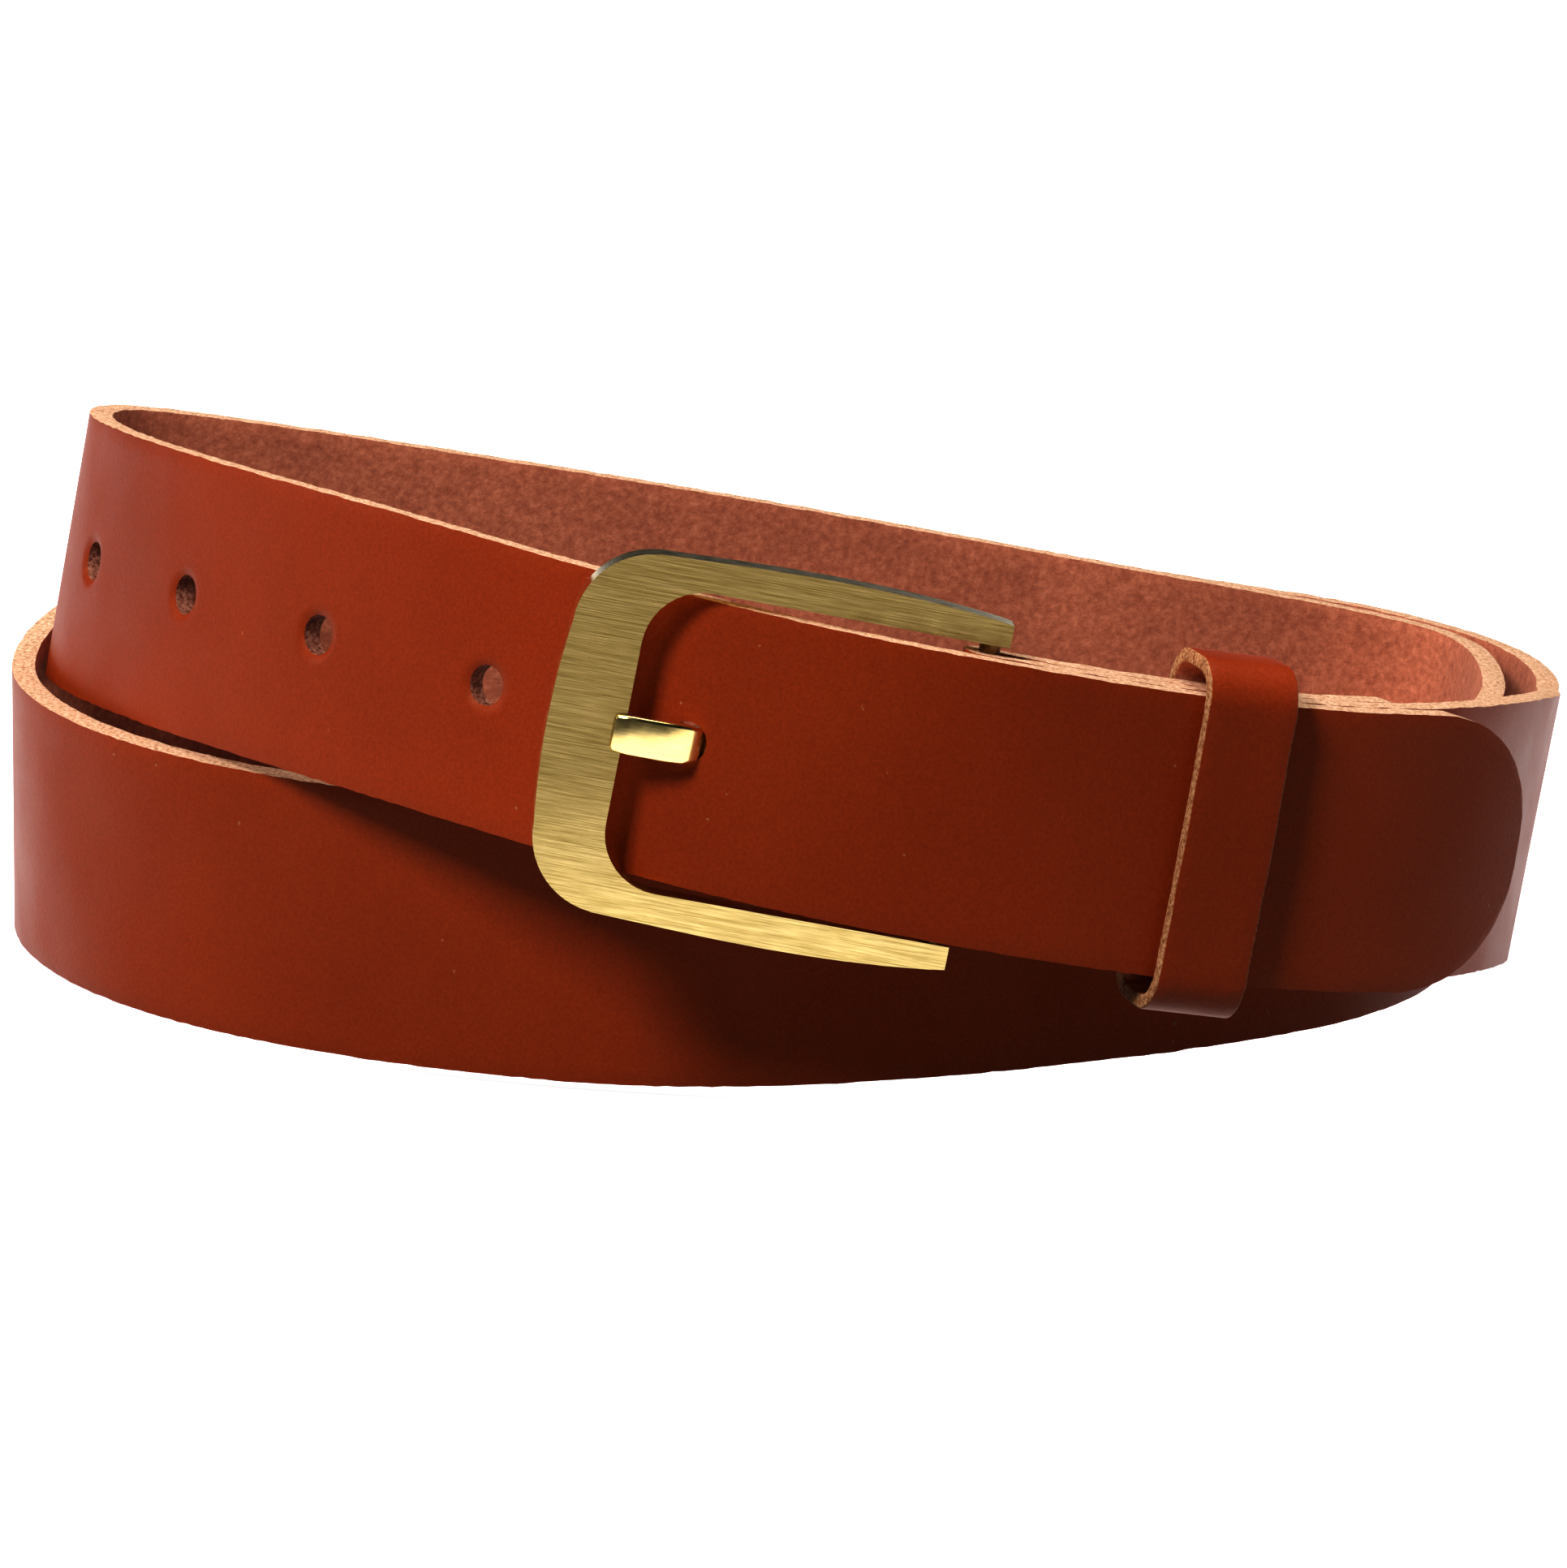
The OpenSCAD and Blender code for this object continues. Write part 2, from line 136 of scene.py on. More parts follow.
# the line that the strap is wound along: places are angles, 0 at the right end of the outer turn
coil = {
    "strapW": 35 * mm,
    "strapT": 3 * mm,
    "foldT": 1.8 * mm,
    "plyGap": 0.3 * mm,
    "reachRight": 83 * mm,
    "reachLeft": 110.5 * mm,
    "depthBack": 40.5 * mm,
    "depthFront": 70 * mm,
    "tipStandOff": 26 * mm,
    "bendStep": 7.5 * mm,
    "backStep": 9 * mm,
    "leftStep": 1.6 * mm,
    "tipReach": 15.5 * mm,
    "buckleProud": 0.15 * mm,
    "climb": 9.5,
    "lean": 5.6,
    "barPlace": 634,
    "tipPlace": 678,
    "tiltLine": (68 * mm, 30 * mm),
    "barD": 2.6 * mm,
    "barAir": 0.05 * mm,
    "pareL": 11 * mm,
    "returnL": 55 * mm,
    "tipNose": 17 * mm,
    "noseFlat": 0.12,
    "tongueReach": 34 * mm,
    "holePitch": 28 * mm,
    "holeD": 5 * mm,
}
halfLengthAt = ((0, 180, 360, 540, 720), (
    coil["reachRight"], coil["reachLeft"], coil["reachRight"] - coil["bendStep"],
    coil["reachLeft"] - coil["leftStep"], coil["reachRight"] + coil["tipReach"]))
depthAt = ((90, 270, 450, 630), (
    coil["depthBack"], coil["depthFront"], coil["depthBack"] - coil["backStep"],
    coil["depthFront"] + coil["tipStandOff"]))
squareAt = ((45, 135, 225, 315, 405, 495, 585, 675),
            (-0.055, -0.02, -0.03, -0.055, -0.055, 0.085, 0.01, -0.015))
liftAt = ((50, 78, 125, 165, 470, 540, 600, 650, 698),
          (0, -1.3 * mm, -1.3 * mm, 0, 0, 0.6 * mm, 5.6 * mm, 4.6 * mm, 7.2 * mm))


def rise(a, start, end):
    t = max(0.0, min(1.0, (a - start) / (end - start)))
    return 0.5 - 0.5 * math.cos(math.pi * t)


def eased(a, table):
    at, v = table
    return v[0] + sum((v[i + 1] - v[i]) * rise(a, at[i], at[i + 1]) for i in range(len(at) - 1))


def tilted(a):
    return 1 - rise(a, 68, 188) + rise(a, 251, 351)


def upWay(a):
    t = math.radians(coil["climb"] * tilted(a))
    lean = math.radians(coil["lean"] * tilted(a))
    return np.array((math.sin(t), math.cos(t) * math.sin(lean), math.cos(t) * math.cos(lean)))


def windingPath(a):
    lean = math.radians(coil["lean"] * tilted(a))
    aft = np.array((0, math.cos(lean), -math.sin(lean)))
    up = upWay(a)
    q = eased(a, squareAt)
    r = math.radians(a)
    x = eased(a, halfLengthAt) * (math.cos(r) + q * math.cos(3 * r)) / (1 + q) - coil["tiltLine"][0]
    y = eased(a, depthAt) * (math.sin(r) - q * math.sin(3 * r)) / (1 + q) - coil["tiltLine"][1]
    start = np.array((*coil["tiltLine"], eased(a, liftAt)))
    return start + x * np.cross(aft, up) + y * aft + up * coil["strapW"] / 2


def unit(v):
    return v / np.linalg.norm(v)


def middleLine(a):
    if a > 20:
        return windingPath(a)
    s = rise(a, -57, -7)
    b = a + 720
    away = unit(np.cross(windingPath(b + 0.5) - windingPath(b - 0.5), upWay(b)))
    inner = windingPath(b) - away * (coil["strapT"] + coil["plyGap"])
    return (1 - s) * inner + s * windingPath(a)


marks = np.arange(coil["barPlace"] - 720, coil["tipPlace"] + 1, 2.0)
markLine = np.array([middleLine(a) for a in marks])
runs = np.concatenate(([0], np.cumsum(np.linalg.norm(np.diff(markLine, axis=0), axis=1))))
wholeRun = float(runs[-1])
lowEdge = min(p[2] - coil["strapW"] / 2 * upWay(a)[2] for p, a in zip(markLine, marks))
# the box is centred and the lowest edge stands on the floor, as in the CAD
climbRoom = coil["strapW"] / 4 * math.sin(math.radians(coil["climb"]))
home = np.array((
    -(markLine[:, 0].min() + markLine[:, 0].max()) / 2 - climbRoom,
    -(markLine[:, 1].min() + markLine[:, 1].max()) / 2 + coil["buckleProud"] / 2,
    coil["strapT"] * math.sin(math.radians(coil["lean"])) - lowEdge))
fineRuns = np.linspace(0, wholeRun, 2209)
fineAngles = np.interp(fineRuns, runs, marks)
fineMiddle = np.array([middleLine(a) + home for a in fineAngles])
fineAlong = np.array([unit(middleLine(a + 0.5) - middleLine(a - 0.5)) for a in fineAngles])
fineOut = np.array([unit(np.cross(t, upWay(a))) for t, a in zip(fineAlong, fineAngles)])
fineTall = np.cross(fineOut, fineAlong)
barRun = float(np.interp(coil["barPlace"], marks, runs))  # where the tip run passes the heel bar


def alongRun(run, table):
    run = np.asarray(run, float)
    return np.stack([np.interp(run, fineRuns, table[:, k]) for k in range(3)], -1)


def onStrap(run, out, tall):
    out, tall = np.asarray(out, float), np.asarray(tall, float)
    point = alongRun(run, fineMiddle) + alongRun(run, fineOut) * out[..., None]
    return point + alongRun(run, fineTall) * tall[..., None]


def frameAt(run, out=0.0, turn=0.0):
    # X to the left along the strap, Y out of its face, Z up its width
    x, y, z = -alongRun(run, fineAlong), alongRun(run, fineOut), alongRun(run, fineTall)
    m = Matrix([[x[k], y[k], z[k], 0] for k in range(3)] + [[0, 0, 0, 1]])
    place = Vector(onStrap(run, out, 0.0))
    return Matrix.Translation(place) @ m @ Matrix.Rotation(turn, 4, "Z")


print("winding laid out, strap run", round(wholeRun, 4))


# materials
def addNode(tree, kind, **values):
    node = tree.nodes.new(kind)
    for key, value in values.items():
        if key in node.inputs:
            node.inputs[key].default_value = value
        else:
            setattr(node, key, value)
    return node


def noiseOf(tree, vector, scale, detail=4.0, rough=0.55, distortion=0.0):
    n = addNode(tree, "ShaderNodeTexNoise",
                Scale=scale, Detail=detail, Roughness=rough, Distortion=distortion)
    tree.links.new(vector, n.inputs["Vector"])
    return n.outputs["Fac"]


def rampOf(tree, fac, stops):
    r = tree.nodes.new("ShaderNodeValToRGB")
    while len(r.color_ramp.elements) < len(stops):
        r.color_ramp.elements.new(0.5)
    for element, (at, color) in zip(r.color_ramp.elements, stops):
        element.position = at
        element.color = (*color, 1)
    tree.links.new(fac, r.inputs["Fac"])
    return r.outputs["Color"]


def mixOf(tree, kind, fac, a, b):
    m = addNode(tree, "ShaderNodeMix", data_type="RGBA", blend_type=kind)
    for value, socket in ((fac, m.inputs[0]), (a, m.inputs[6]), (b, m.inputs[7])):
        if isinstance(value, (int, float)):
            socket.default_value = value
        elif isinstance(value, tuple):
            socket.default_value = (*value, 1)
        else:
            tree.links.new(value, socket)
    return m.outputs[2]


def rangeOf(tree, value, low, high, toLow, toHigh):
    r = addNode(tree, "ShaderNodeMapRange")
    for key, v in zip(("From Min", "From Max", "To Min", "To Max"), (low, high, toLow, toHigh)):
        r.inputs[key].default_value = v
    tree.links.new(value, r.inputs["Value"])
    return r.outputs["Result"]


def bumpOf(tree, height, strength, distance, under=None):
    b = addNode(tree, "ShaderNodeBump", Strength=strength, Distance=distance)
    tree.links.new(height, b.inputs["Height"])
    if under is not None:
        tree.links.new(under, b.inputs["Normal"])
    return b.outputs["Normal"]


def placeOf(tree, stretch=None, turn=None):
    coords = tree.nodes.new("ShaderNodeTexCoord").outputs["Object"]
    if stretch is None:
        return coords
    m = addNode(tree, "ShaderNodeMapping", vector_type="TEXTURE" if turn else "POINT")
    tree.links.new(coords, m.inputs["Vector"])
    if turn:
        m.inputs["Rotation"].default_value = turn
        m.inputs["Scale"].default_value = tuple(1 / v for v in stretch)
    else:
        m.inputs["Scale"].default_value = stretch
    return m.outputs["Vector"]


leatherLook = {
    "dark": (0.290, 0.034, 0.0055),
    "mid": (0.325, 0.039, 0.0065),
    "light": (0.360, 0.044, 0.0075),
    "roughness": (0.40, 0.52),
    "pebble": 0.16,
}


def makeGrainLeather(name, look):
    mat, tree, shader = newMaterial(name)
    where = placeOf(tree)
    cloud = noiseOf(tree, where, 26, 3.0, 0.5)
    color = rampOf(tree, cloud, ((0.3, look["dark"]), (0.5, look["mid"]), (0.72, look["light"])))
    speck = noiseOf(tree, where, 2600, 2.0, 0.6)
    fine = rampOf(tree, speck, ((0.3, (0.80, 0.78, 0.76)), (0.7, (1.16, 1.18, 1.22))))
    color = mixOf(tree, "MULTIPLY", 0.75, color, fine)
    dust = rampOf(tree, noiseOf(tree, where, 700, 2.0, 0.4), ((0.785, (0, 0, 0)), (0.80, (1, 1, 1))))
    color = mixOf(tree, "MIX", rangeOf(tree, dust, 0, 1, 0, 0.5), color, (0.55, 0.25, 0.12))
    tree.links.new(color, shader.inputs["Base Color"])
    polish = rangeOf(tree, noiseOf(tree, where, 60, 4.0), 0.3, 0.7, *look["roughness"])
    tree.links.new(polish, shader.inputs["Roughness"])
    shader.inputs["Specular IOR Level"].default_value = 0.18
    shader.inputs["Specular Tint"].default_value = (1.0, 0.72, 0.42, 1)
    cells = addNode(tree, "ShaderNodeTexVoronoi", Scale=1500.0, Randomness=1.0)
    tree.links.new(where, cells.inputs["Vector"])
    normal = bumpOf(tree, cells.outputs["Distance"], look["pebble"], 0.12 * mm)
    normal = bumpOf(tree, noiseOf(tree, where, 320, 3.0), 0.10, 0.3 * mm, normal)
    tree.links.new(normal, shader.inputs["Normal"])
    return mat


def makeFlesh(name):
    mat, tree, shader = newMaterial(name)
    where = placeOf(tree)
    mottle = noiseOf(tree, where, 1000, 6.0, 0.68, 0.2)
    color = rampOf(tree, mottle, (
        (0.30, (0.40, 0.115, 0.063)),
        (0.5, (0.56, 0.180, 0.097)),
        (0.70, (0.74, 0.270, 0.150))))
    cloud = rampOf(tree, noiseOf(tree, where, 45, 3.0), (
        (0.3, (0.82, 0.80, 0.80)),
        (0.7, (1.12, 1.14, 1.14))))
    color = mixOf(tree, "MULTIPLY", 1.0, color, cloud)
    tree.links.new(color, shader.inputs["Base Color"])
    shader.inputs["Roughness"].default_value = 0.92
    shader.inputs["Specular IOR Level"].default_value = 0.12
    shader.inputs["Sheen Weight"].default_value = 0.25
    shader.inputs["Sheen Roughness"].default_value = 0.5
    shader.inputs["Sheen Tint"].default_value = (0.95, 0.55, 0.4, 1)
    normal = bumpOf(tree, noiseOf(tree, where, 1500, 4.0, 0.7), 0.45, 0.25 * mm)
    tree.links.new(normal, shader.inputs["Normal"])
    return mat


def makeCutEdge(name, pale, tan, dark):
    mat, tree, shader = newMaterial(name)
    where = placeOf(tree)
    fibre = noiseOf(tree, where, 1900, 4.0, 0.75, 0.3)
    color = rampOf(tree, fibre, ((0.30, dark), (0.46, tan), (0.60, pale)))
    tree.links.new(color, shader.inputs["Base Color"])
    shader.inputs["Roughness"].default_value = 0.9
    shader.inputs["Specular IOR Level"].default_value = 0.15
    normal = bumpOf(tree, fibre, 0.7, 0.25 * mm)
    tree.links.new(normal, shader.inputs["Normal"])
    return mat


def makeBrass(name, brushed, turn):
    mat, tree, shader = newMaterial(name)
    where = placeOf(tree)
    lines = noiseOf(tree, placeOf(tree, (160, 900, 7000), turn), 1.0, 3.0, 0.6)
    color = rampOf(tree, lines, ((0.3, (0.40, 0.28, 0.08)), (0.7, (0.78, 0.60, 0.27))) if brushed else
                   ((0.3, (0.80, 0.60, 0.22)), (0.7, (0.86, 0.67, 0.30))))
    if brushed:  # the brushed face is painted darker towards its top, a painted dark reflection rather than a tone of the metal
        height = tree.nodes.new("ShaderNodeSeparateXYZ")
        tree.links.new(where, height.inputs[0])
        barZ = buckleFrame.translation.z
        upper = rangeOf(tree, height.outputs["Z"], barZ - 13 * mm, barZ + 3 * mm, 0.0, 1.0)
        # painted dark reflection: the brass colour is multiplied down towards the top of the face
        color = mixOf(tree, "MULTIPLY", upper, color, (0.46, 0.44, 0.40))
    tree.links.new(color, shader.inputs["Base Color"])
    shader.inputs["Metallic"].default_value = 1.0
    low, high = (0.26, 0.42) if brushed else (0.14, 0.24)
    polish = rangeOf(tree, noiseOf(tree, where, 400, 4.0), 0.3, 0.7, low, high)
    tree.links.new(polish, shader.inputs["Roughness"])
    normal = bumpOf(tree, lines, 0.28 if brushed else 0.05, 0.06 * mm)
    normal = bumpOf(tree, noiseOf(tree, where, 350, 2.0), 0.06, 0.2 * mm, normal)
    tree.links.new(normal, shader.inputs["Normal"])
    return mat


def makeSteel(name, dark, pale):
    mat, tree, shader = newMaterial(name)
    where = placeOf(tree)
    color = rampOf(tree, noiseOf(tree, where, 900, 3.0), ((0.3, dark), (0.7, pale)))
    tree.links.new(color, shader.inputs["Base Color"])
    shader.inputs["Metallic"].default_value = 1.0
    polish = rangeOf(tree, noiseOf(tree, where, 500, 3.0), 0.3, 0.7, 0.25, 0.42)
    tree.links.new(polish, shader.inputs["Roughness"])
    tree.links.new(bumpOf(tree, noiseOf(tree, where, 1500, 2.0), 0.1, 0.1 * mm), shader.inputs["Normal"])
    return mat


# helpers for shaping
def editSelect(obj, mode, test):
    # picks vertices, edges or faces whose middle, and normal for a face, pass the test
    deselectAll()
    bpy.context.view_layer.objects.active = obj
    obj.select_set(True)
    bpy.ops.object.mode_set(mode="EDIT")
    bpy.ops.mesh.select_mode(type=mode)
    bpy.ops.mesh.select_all(action="DESELECT")
    bpy.ops.object.mode_set(mode="OBJECT")
    me = obj.data
    if mode == "VERT":
        for v in me.vertices:
            v.select = bool(test(v.co))
    elif mode == "EDGE":
        for e in me.edges:
            e.select = bool(test(me.vertices[e.vertices[0]].co, me.vertices[e.vertices[1]].co))
    else:
        for f in me.polygons:
            f.select = bool(test(f.center, f.normal))
    bpy.ops.object.mode_set(mode="EDIT")


def backToObject():
    bpy.ops.object.mode_set(mode="OBJECT")


def addBox(name, low, high):
    deselectAll()
    low, high = Vector(low), Vector(high)
    bpy.ops.mesh.primitive_cube_add(size=1, location=(low + high) / 2)
    obj = bpy.context.object
    obj.scale = high - low
    bpy.ops.object.transform_apply(location=True, rotation=True, scale=True)
    obj.name = name
    return obj


def addRod(name, start, end, radius, sides=48, endRadius=None):
    deselectAll()
    start, end = Vector(start), Vector(end)
    bpy.ops.mesh.primitive_cone_add(
        vertices=sides, radius1=radius, radius2=radius if endRadius is None else endRadius,
        depth=(end - start).length, location=(start + end) / 2,
        rotation=(end - start).to_track_quat("Z", "Y").to_euler())
    bpy.ops.object.transform_apply(location=True, rotation=True, scale=True)
    bpy.context.object.name = name
    return bpy.context.object


def joinAll(objs):
    deselectAll()
    for o in objs:
        o.select_set(True)
    bpy.context.view_layer.objects.active = objs[0]
    if len(objs) > 1:
        bpy.ops.object.join()
    return objs[0]


def applyModifier(obj, kind, **values):
    deselectAll()
    bpy.context.view_layer.objects.active = obj
    obj.select_set(True)
    mod = obj.modifiers.new(kind.lower(), kind)
    for key, value in values.items():
        setattr(mod, key, value)
    bpy.ops.object.modifier_apply(modifier=mod.name)


def cutWith(obj, cutter):
    applyModifier(obj, "BOOLEAN", operation="DIFFERENCE", solver="EXACT", object=cutter)
    bpy.data.objects.remove(cutter, do_unlink=True)


def finishPiece(obj, name, body, materials, nodes=(), smooth=32):
    deselectAll()
    bpy.context.view_layer.objects.active = obj
    obj.select_set(True)
    bpy.ops.object.transform_apply(location=True, rotation=True, scale=True)
    bpy.ops.object.shade_smooth_by_angle(angle=math.radians(smooth))
    obj.name = name
    if materials:
        obj.data.materials.clear()
        for m in materials:
            obj.data.materials.append(m)
    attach(obj, body)
    if nodes:
        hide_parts(*nodes)
    print("made", name, len(obj.data.polygons), "faces")


grain = makeGrainLeather("cognacGrain", leatherLook)
keeperGrain = makeGrainLeather("keeperGrain", {**leatherLook, "pebble": 0.22})
flesh = makeFlesh("fleshSide")
rawEdge = makeCutEdge("rawEdge", (0.90, 0.60, 0.40), (0.66, 0.36, 0.20), (0.30, 0.10, 0.045))
holeWall = makeCutEdge("holeWall", (0.50, 0.22, 0.14), (0.24, 0.075, 0.045), (0.07, 0.02, 0.012))
keeperEdge = makeCutEdge("keeperEdge", (0.62, 0.33, 0.16), (0.36, 0.14, 0.055), (0.11, 0.035, 0.014))

# strap: laid out flat, cut, punched and then wound
strapSizes = {
    "acrossCells": 14,
    "returnCells": 34,
    "turnCells": 16,
    "longCells": 800,
    "noseCells": 22,
    "edgeRound": 0.35 * mm,
    "lipReach": 1.3 * mm,
    "lipDepth": 0.42 * mm,
    "slotL": 9 * mm,
    "slotW": 5.6 * mm,
    "rivetNear": 16 * mm,
    "rivetFar": 48 * mm,
    "recess": 1.2 * mm,
    "recessD": 8.4 * mm,
    "boreD": 4.9 * mm,
    "fray": 0.13 * mm,
}
barOff = coil["strapT"] / 2 - coil["foldT"] - coil["barAir"] - coil["barD"] / 2
innerR = coil["barD"] / 2 + coil["barAir"]
turnL = math.pi * (innerR + coil["foldT"] / 2)
returnIn = -coil["strapT"] * 1.5 - coil["plyGap"] / 2
tongueHole = barRun - coil["tongueReach"]
holeRuns = [tongueHole - i * coil["holePitch"] for i in range(5)]


def runOfCell(t):
    # how far along the strap a row of the flat grid lies; the bar's turn and the nose are finer
    s = strapSizes
    noseStart = wholeRun - coil["tipNose"]
    if t <= s["returnCells"]:
        return -turnL - coil["returnL"] * (1 - t / s["returnCells"])
    t -= s["returnCells"]
    if t <= s["turnCells"]:
        return -turnL * (1 - t / s["turnCells"])
    t -= s["turnCells"]
    if t <= s["longCells"]:
        return noseStart * t / s["longCells"]
    t -= s["longCells"]
    return noseStart + coil["tipNose"] * math.sin(math.pi / 2 * t / s["noseCells"])


def halfWidthAt(run):
    t = (run - wholeRun + coil["tipNose"]) / coil["tipNose"]
    if t <= 0:
        return coil["strapW"] / 2
    flat = coil["noseFlat"]
    return coil["strapW"] / 2 * (flat + (1 - flat) * math.sqrt(max(0.0, 1 - t * t)))


def windOn(co):
    # flat x runs along, y across and z through the leather; each point is laid where the coil has it
    run, tall, deep = co[:, 0], co[:, 1], co[:, 2] / (coil["strapT"] / 2)
    half = coil["strapT"] / 2
    out = np.empty_like(co)
    front = run >= 0
    shut = np.array([rise(r, 0, coil["pareL"]) for r in np.clip(run, 0, None)])
    inner = (barOff + innerR) * (1 - shut) - half * shut
    off = inner + (half - inner) * (deep + 1) / 2
    out[front] = onStrap(run[front], off[front], tall[front])
    turn = (run < 0) & (run >= -turnL)
    f = math.pi / 2 + math.pi * run[turn] / turnL
    r = innerR + coil["foldT"] * (deep[turn] + 1) / 2
    zero = np.zeros(turn.sum())
    roundBar = alongRun(zero, fineAlong) * (r * np.cos(f))[:, None]
    out[turn] = onStrap(zero, barOff + r * np.sin(f), tall[turn]) - roundBar
    back = run < -turnL
    d = -run[back] - turnL
    shut = np.array([rise(r, 0, coil["pareL"]) for r in d])
    barFace = (barOff - innerR) * (1 - shut) + (returnIn + coil["strapT"]) * shut
    farFace = (barOff - innerR - coil["foldT"]) * (1 - shut) + returnIn * shut
    out[back] = onStrap(d, barFace + (farFace - barFace) * (deep[back] + 1) / 2, tall[back])
    return out


def meshPoints(obj):
    co = np.empty(len(obj.data.vertices) * 3)
    obj.data.vertices.foreach_get("co", co)
    return co.reshape(-1, 3)


def setMeshPoints(obj, co):
    obj.data.vertices.foreach_set("co", np.ascontiguousarray(co, float).ravel())
    obj.data.update()


def makeStrap(s):
    along = s["returnCells"] + s["turnCells"] + s["longCells"] + s["noseCells"]
    deselectAll()
    bpy.ops.mesh.primitive_grid_add(x_subdivisions=along, y_subdivisions=s["acrossCells"], size=1)
    strap = bpy.context.object
    co = meshPoints(strap)
    cell = np.rint((co[:, 0] + 0.5) * along).astype(int)
    run = np.array([runOfCell(t) for t in range(along + 1)])[cell]
    half = np.array([halfWidthAt(r) for r in run])
    setMeshPoints(strap, np.stack((run, co[:, 1] * 2 * half, co[:, 2]), 1))
    applyModifier(strap, "SOLIDIFY", thickness=coil["strapT"], offset=0.0)
    applyModifier(strap, "BEVEL", width=s["edgeRound"], segments=3,
                  limit_method="ANGLE", angle_limit=math.radians(60))
    # finer cells round the holes
    for i in range(2):
        editSelect(strap, "FACE", lambda c, n: n.z > 0.5 and any(
            (c.x - h) ** 2 + c.y ** 2 < (4.6 * mm) ** 2 for h in holeRuns))
        bpy.ops.mesh.subdivide(number_cuts=1 if i else 2)
        backToObject()
    cutters = []
    for i, h in enumerate(holeRuns):
        cutters.append(addRod("punch", (h, 0, -4 * mm), (h, 0, 4 * mm), coil["holeD"] / 2, 40))
    slot = addBox("slot", (-turnL - s["slotL"], -s["slotW"] / 2, -4 * mm),
                  (s["slotL"], s["slotW"] / 2, 4 * mm))
    cutters.append(slot)
    deep = coil["strapT"] / 2
    for d in (s["rivetNear"], s["rivetFar"]):
        cutters.append(addRod("recess", (d, 0, deep - s["recess"]), (d, 0, 4 * mm), s["recessD"] / 2, 40))
        cutters.append(addRod("bore", (d, 0, -4 * mm), (d, 0, deep - 0.5 * s["recess"]), s["boreD"] / 2, 32))
        cutters.append(addRod("bore", (-turnL - d, 0, -4 * mm), (-turnL - d, 0, 4 * mm), s["boreD"] / 2, 32))
    for cutter in cutters:
        cutWith(strap, cutter)
    # faces sorted into grain, flesh and cut edge while the strap is flat
    me = strap.data
    me.materials.clear()
    for m in (grain, flesh, rawEdge, holeWall):
        me.materials.append(m)
    noseStart = wholeRun - coil["tipNose"]
    for f in me.polygons:
        f.material_index = 0 if f.normal.z > 0.45 else 1 if f.normal.z < -0.45 else 2
        inside = abs(f.center.y) < coil["holeD"] and 0 < f.center.x < noseStart
        if f.material_index == 2 and inside:
            f.material_index = 3
    # the punched rims sink in, and the cut edges fray a little
    co = meshPoints(strap)
    for h in holeRuns[1:]:
        away = np.hypot(co[:, 0] - h, co[:, 1]) - coil["holeD"] / 2
        t = np.clip(1 - away / s["lipReach"], 0, 1)
        co[:, 2] -= np.where(co[:, 2] > 0, s["lipDepth"] * t * t, 0)
    half = np.array([halfWidthAt(r) for r in co[:, 0]])
    rim = np.clip((np.abs(co[:, 1]) - half + 0.6 * mm) / (0.6 * mm), 0, 1)
    for i in np.nonzero(rim > 0.3)[0]:
        p = Vector(co[i]) * 900
        co[i, 1] += s["fray"] * noise.noise(p) * rim[i]
        co[i, 2] += 0.5 * s["fray"] * noise.noise(p + Vector((31, 7, 3))) * rim[i]
    setMeshPoints(strap, windOn(co))
    finishPiece(strap, "strap", "strap", None, nodes=(
        "strap_tip_run", "strap_near_holes", "strap_far_holes", "strap_upper_turn",
        "strap_lower_turn", "strap_outer_turn", "strap_buckle_end", "strap_fold"), smooth=40)


makeStrap(strapSizes)

# buckle: worked in its own frame, X to its left bar, Y towards the wearer's front, Z up
buckleSizes = {
    "length": 51 * mm,
    "windowRoom": 2.4 * mm,
    "armHeight": 3.55 * mm,
    "leftBar": 9.4 * mm,
    "thick": 4 * mm,
    "cornerR": 9.6 * mm,
    "innerCornerR": 7.4 * mm,
    "bow": 0.8 * mm,
    "armBack": 2.2 * mm,
    "armEnd": 2.8 * mm,
    "armBulge": 1.05 * mm,
    "frontRound": 1.35 * mm,
    "backRound": 0.5 * mm,
    "notchDepth": 1.1 * mm,
    "notchR": 3 * mm,
    "seatRise": 1.2 * mm,
    "barCuts": (-10, -7.5, -5, -2.5, 0, 2.5, 5, 7.5, 10),  # mm, rows that let the bar bow
    "armCuts": (0, 5, 10, 15, 20, 25, 30),  # mm, rows that let the arms bulge
}
windowL = buckleSizes["length"] - buckleSizes["leftBar"]
seatPoint = Vector(onStrap(barRun - windowL, coil["strapT"] / 2 + buckleSizes["seatRise"], 0.0))
barFrame = frameAt(0.0, barOff)
toSeat = barFrame.inverted() @ seatPoint
swing = math.asin((toSeat.y + buckleSizes["thick"] / 2) / (seatPoint - barFrame.translation).length)
buckleFrame = frameAt(0.0, barOff, swing)
buckleTurn = tuple(buckleFrame.to_euler())
brushedBrass = makeBrass("brushedBrass", True, buckleTurn)
polishedBrass = makeBrass("polishedBrass", False, buckleTurn)
steel = makeSteel("barSteel", (0.50, 0.48, 0.44), (0.66, 0.64, 0.60))
# painted shade: the heel bar's brass is painted near black, standing in for the shadowed fold of leather
# around it
paintedShadeBrass = makeSteel("paintedShadeBrass", (0.10, 0.055, 0.02), (0.20, 0.12, 0.045))


